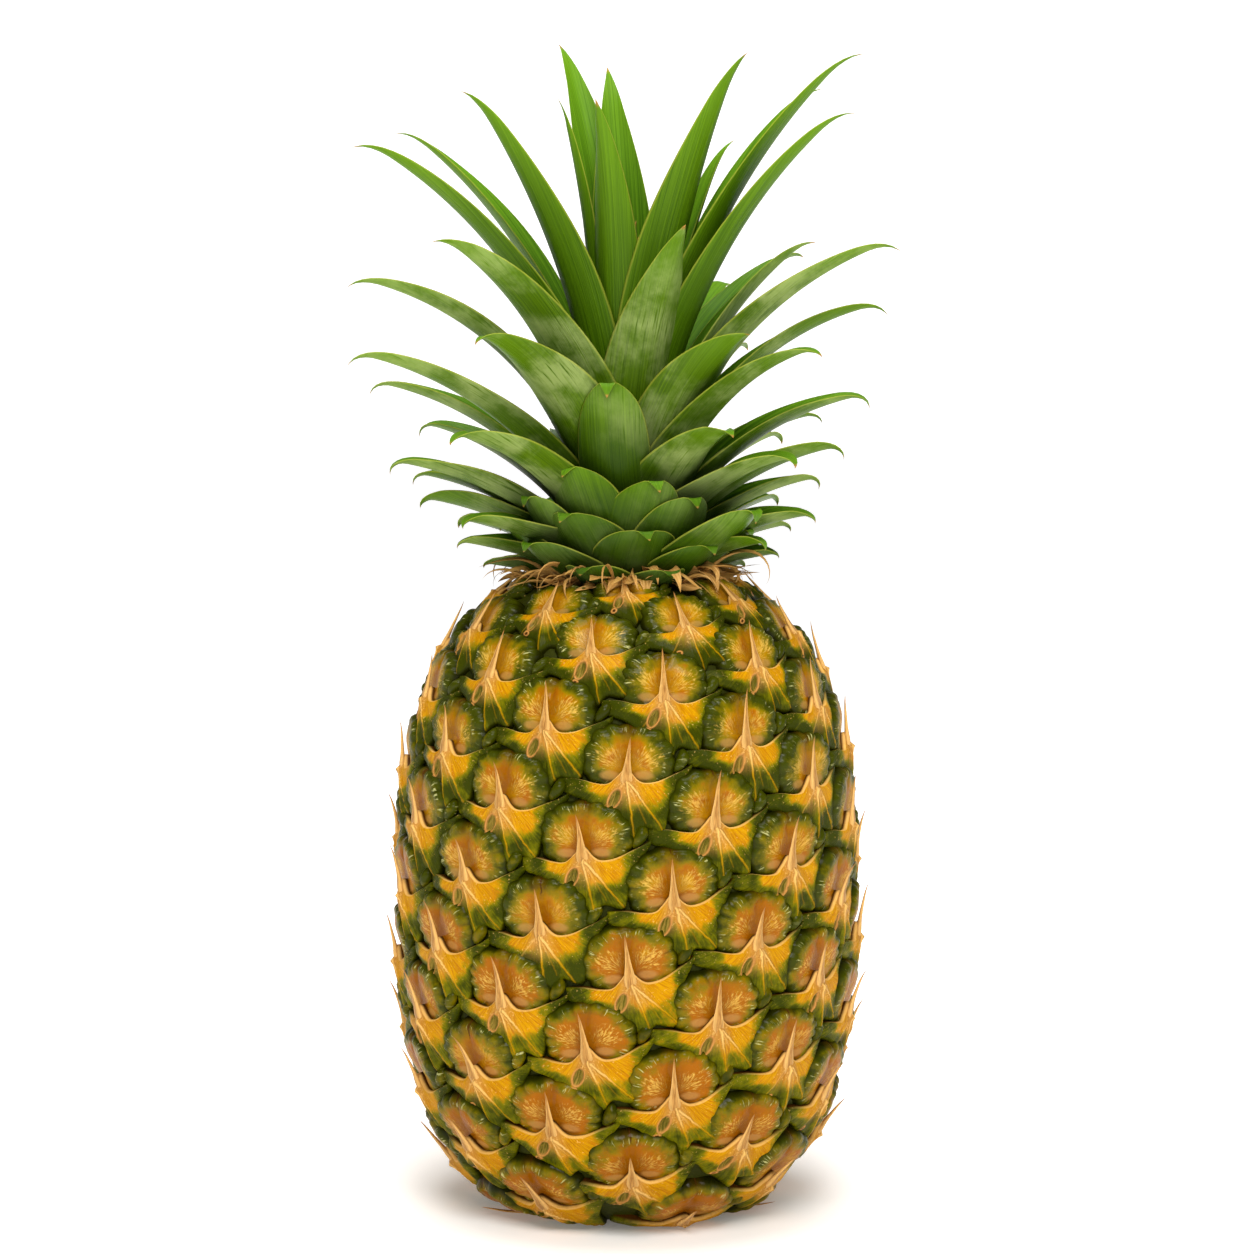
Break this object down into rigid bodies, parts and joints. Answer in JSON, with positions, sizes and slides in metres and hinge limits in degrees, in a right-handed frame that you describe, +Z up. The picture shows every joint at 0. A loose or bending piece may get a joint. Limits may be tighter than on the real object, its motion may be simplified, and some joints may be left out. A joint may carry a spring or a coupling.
{
  "type": "pineapple",
  "caption": "Whole ripe pineapple standing on its cut base, with spiralling eyes, small spines and a full crown of channelled leaves.",
  "frame": {"origin": "centre of the flat cut stem face that the fruit stands on", "axes": "+Z up along the fruit's axis to the crown; -Y towards the viewer"},
  "size_m": [0.147, 0.1296, 0.315],
  "materials": {
    "fruit": "waxy orange-yellow rind with dark green grooves",
    "crown": "satin green leaves with a pale bloom",
    "neck_bracts": "dry brown papery bracts",
    "cut_stem": "pale fibrous cut"
  },
  "bodies": {
    "root": {"fruit": "fruit", "crown": "crown", "neck_bracts": "neck_bracts", "cut_stem": "cut_stem"}
  },
  "joints": []
}
